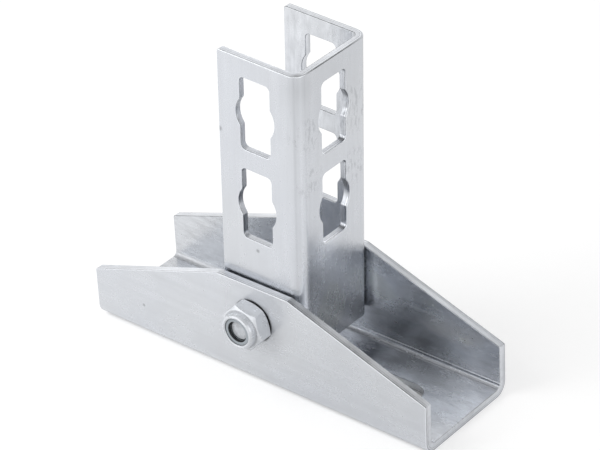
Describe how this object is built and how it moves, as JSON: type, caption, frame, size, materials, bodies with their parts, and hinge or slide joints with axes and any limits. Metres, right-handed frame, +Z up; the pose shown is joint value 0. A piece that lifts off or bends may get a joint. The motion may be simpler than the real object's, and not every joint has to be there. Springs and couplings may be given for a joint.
{
  "type": "swivelling strut channel foot",
  "caption": "Swivelling foot for strut channel: a slotted folded base channel with a tilting, perforated upright channel clamped between its walls by a through bolt.",
  "frame": {"origin": "middle of the base channel's underside, straight below the bolt", "axes": "+Z up, +X along the base towards the side that the upright's web faces, -Y the nut's side"},
  "size_m": [0.16, 0.0684, 0.1394],
  "materials": {
    "base_steel": "zinc-coated sheet, faintly brushed, with light handling marks",
    "upright_steel": "zinc-coated sheet, faintly brushed along its length",
    "fastener_steel": "bright zinc plate",
    "insert_plastic": "satin grey nylon"
  },
  "bodies": {
    "base": {"base_channel": "base_steel", "pivot_bolt": "fastener_steel", "bolt_washer": "fastener_steel", "lock_nut": "fastener_steel", "nut_insert": "insert_plastic"},
    "upright": {"upright_channel": "upright_steel"}
  },
  "joints": [
    {"name": "upright_swivel", "type": "hinge", "parent": "base", "child": "upright", "pos_m": [0, 0, 0.02895], "axis": [0, 1, 0], "range_deg": [-92, 88]}
  ]
}
